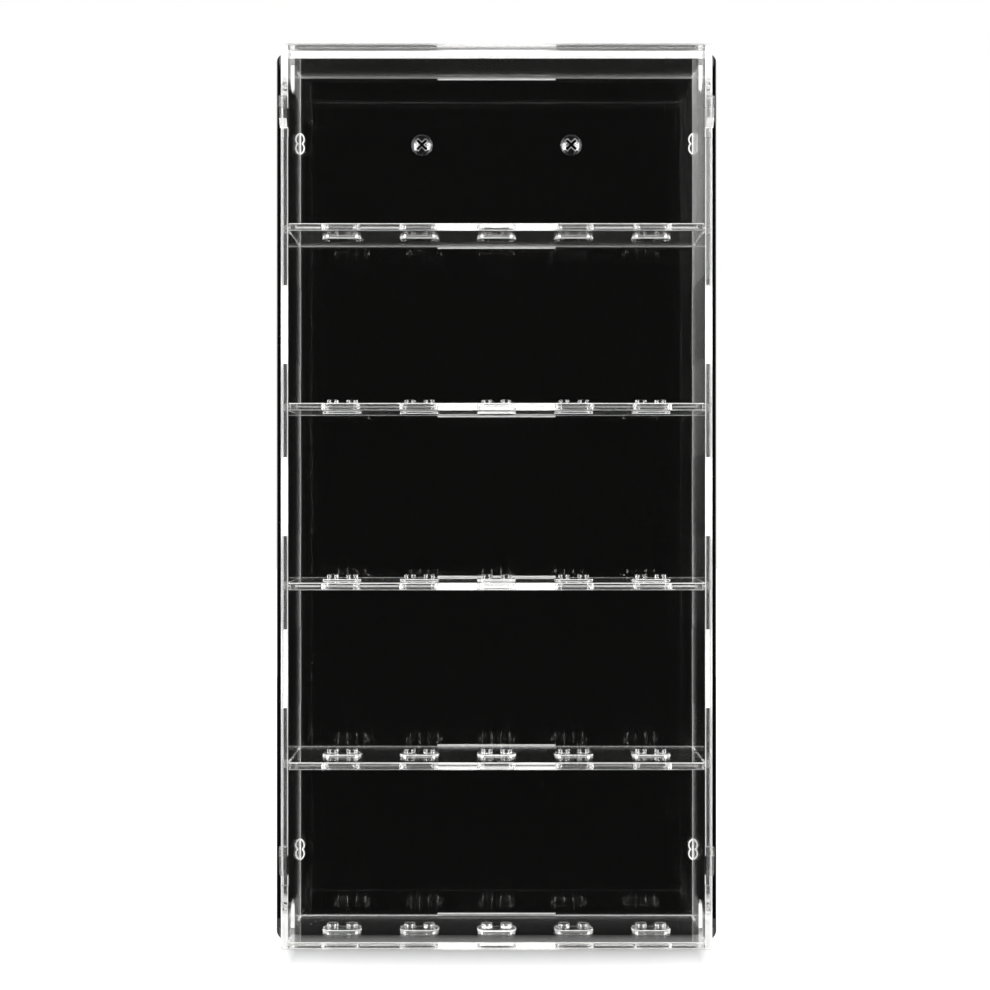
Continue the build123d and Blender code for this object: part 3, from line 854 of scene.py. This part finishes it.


# White floor with a painted contact shadow of the case: the distance in front of the back panel, plus weighted
# distances beside and behind the case, sets how far the floor has come out of the painted shadow.
def floorMaterial():
    material, tree, shader, places = newMaterial("floorWhite")
    shader.inputs["Roughness"].default_value = 0.7
    shader.inputs["Specular IOR Level"].default_value = 0.0
    shader.inputs["Emission Color"].default_value = (1, 1, 1, 1)
    path = tree.nodes.new("ShaderNodeLightPath")
    seen = addMath(tree, "MAXIMUM", path.outputs["Is Camera Ray"], path.outputs["Is Glossy Ray"])
    seen = addMath(tree, "MAXIMUM", seen, path.outputs["Is Transmission Ray"])
    parts = tree.nodes.new("ShaderNodeSeparateXYZ")
    tree.links.new(places.outputs["Object"], parts.inputs[0])
    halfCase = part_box("right_side")[0][0]
    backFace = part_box("back_panel")[0][1]
    beside = addMath(tree, "SUBTRACT", addMath(tree, "ABSOLUTE", parts.outputs["X"]), halfCase)
    beside = addMath(tree, "MAXIMUM", addMath(tree, "MULTIPLY", beside, studio["floorBeside"]), 0.0)
    ahead = addMath(tree, "MAXIMUM", addMath(tree, "SUBTRACT", backFace, parts.outputs["Y"]), 0.0)
    behind = addMath(tree, "MAXIMUM", addMath(tree, "MULTIPLY", parts.outputs["Y"], studio["floorBehind"]), 0.0)
    away = addMapRange(tree, addChain(tree, "ADD", beside, behind, ahead), 0.0, studio["floorShade"], 0.0, 1.0)
    lit = addMath(tree, "POWER", away, studio["floorFade"])
    length = tree.nodes.new("ShaderNodeVectorMath")
    length.operation = "LENGTH"
    tree.links.new(places.outputs["Object"], length.inputs[0])
    white = addMapRange(tree, length.outputs["Value"], *studio["floorFar"], studio["floorLift"], 1.0)
    lift = addMath(tree, "MULTIPLY", lit, white)
    tree.links.new(addMath(tree, "MULTIPLY", seen, lift), shader.inputs["Emission Strength"])
    # Painted shadow in the base colour: from floorDark under the case to floorColor away from it
    grey = tree.nodes.new("ShaderNodeCombineColor")
    for label in ("Red", "Green", "Blue"):
        level = addMapRange(tree, lit, 0.0, 1.0, studio["floorDark"], studio["floorColor"])
        tree.links.new(level, grey.inputs[label])
    tree.links.new(grey.outputs[0], shader.inputs["Base Color"])
    return material


# White to the camera. To other rays it is a room with white behind and beside the case, dim above
# and in front, and dark behind the camera. Glass shows the over-bright backdrop.
def makeWorld():
    world = bpy.data.worlds.new("studio")
    bpy.context.scene.world = world
    world.use_nodes = True
    tree = world.node_tree
    tree.nodes.clear()
    output = tree.nodes.new("ShaderNodeOutputWorld")
    places = tree.nodes.new("ShaderNodeTexCoord")
    parts = tree.nodes.new("ShaderNodeSeparateXYZ")
    tree.links.new(places.outputs["Generated"], parts.inputs[0])
    path = tree.nodes.new("ShaderNodeLightPath")
    backdrop = addMapRange(tree, path.outputs["Is Transmission Ray"], 0.0, 1.0,
                           studio["worldWhite"], studio["worldBackdrop"])
    rear = addMapRange(tree, parts.outputs["Y"], *studio["rearCosines"], studio["worldFront"], backdrop)
    beside = addMapRange(tree, addMath(tree, "ABSOLUTE", parts.outputs["X"]), *studio["besideCosines"],
                         studio["worldFront"], studio["worldBeside"])
    through = addMapRange(tree, path.outputs["Is Transmission Ray"], 0.0, 1.0, 1.0, studio["worldThrough"])
    room = addMath(tree, "MAXIMUM", rear, addMath(tree, "MULTIPLY", beside, through))
    front = addMath(tree, "MULTIPLY", parts.outputs["Y"], -1.0)
    room = addMapRange(tree, front, *studio["darkCosines"], room, studio["worldDark"])
    strength = addMapRange(tree, path.outputs["Is Camera Ray"], 0.0, 1.0, room, 1.0)
    background = tree.nodes.new("ShaderNodeBackground")
    background.inputs["Color"].default_value = (1, 1, 1, 1)
    tree.links.new(strength, background.inputs["Strength"])
    tree.links.new(background.outputs[0], output.inputs[0])


# Softboxes: where they are and aim, width and height in metres, power in watts, and the kinds of rays
# that don't meet them. The keys light the front, the other pair the edges, the last one the top.
lamps = {
    "keyLeft": ((-0.83, -0.75, 0.13), (0, 0, 0.1), (0.65, 1.0), 10.0, ()),
    "keyRight": ((0.83, -0.75, 0.13), (0, 0, 0.1), (0.65, 1.0), 10.0, ()),
    "sideLeft": ((-1.2, -0.1, 0.1), (0, 0, 0), (0.6, 1.0), 7.0, ("transmission",)),
    "sideRight": ((1.2, -0.1, 0.1), (0, 0, 0), (0.6, 1.0), 7.0, ("transmission",)),
    "topFront": ((0.0, -0.95, 1.05), (0, 0, 0), (0.6, 0.8), 9.0, ("glossy", "transmission")),
}


# A rectangular area lamp at a place, turned towards aim.
def addSoftbox(name, place, aim, size, power, hidden):
    data = bpy.data.lights.new(name, "AREA")
    data.shape = "RECTANGLE"
    data.size, data.size_y = size
    data.energy = power
    lamp = bpy.data.objects.new(name, data)
    lamp.location = place
    lamp.rotation_euler = (Vector(aim) - Vector(place)).to_track_quat("-Z", "Y").to_euler()
    lamp.visible_camera = False
    lamp.visible_glossy = "glossy" not in hidden
    lamp.visible_transmission = "transmission" not in hidden
    bpy.context.scene.collection.objects.link(lamp)


# The photograph's camera: level, straight in front of the case's middle.
def makeCamera():
    view = {"distance": 0.8, "lens": 67.2, "sensor": 36.0, "offset": 0.00065}
    data = bpy.data.cameras.new("camera")
    data.sensor_width = view["sensor"]
    data.lens = view["lens"]
    data.clip_start = 0.01
    camera = bpy.data.objects.new("camera", data)
    camera.location = (-view["offset"], -view["distance"], view["offset"])
    camera.rotation_euler = (math.radians(90), 0, 0)
    bpy.context.scene.collection.objects.link(camera)
    bpy.context.scene.camera = camera


floorWhite = floorMaterial()
rearFloor = makeFloor("floorRear", studio["floorSplit"], 4.0, 4.0)
frontFloor = makeFloor("floorFront", -4.0, studio["floorSplit"], 4.0)
for floor in (rearFloor, frontFloor):
    floor.data.materials.append(floorWhite)
frontFloor.visible_glossy = False
frontFloor.visible_transmission = False
frontFloor.visible_diffuse = False
makeWorld()
for name, values in lamps.items():
    addSoftbox(name, *values)
makeCamera()

scene = bpy.context.scene
scene.view_settings.view_transform = "Standard"
scene.cycles.max_bounces = 40
scene.cycles.transmission_bounces = 40
scene.cycles.glossy_bounces = 16
scene.cycles.transparent_max_bounces = 16
print("stage studio")
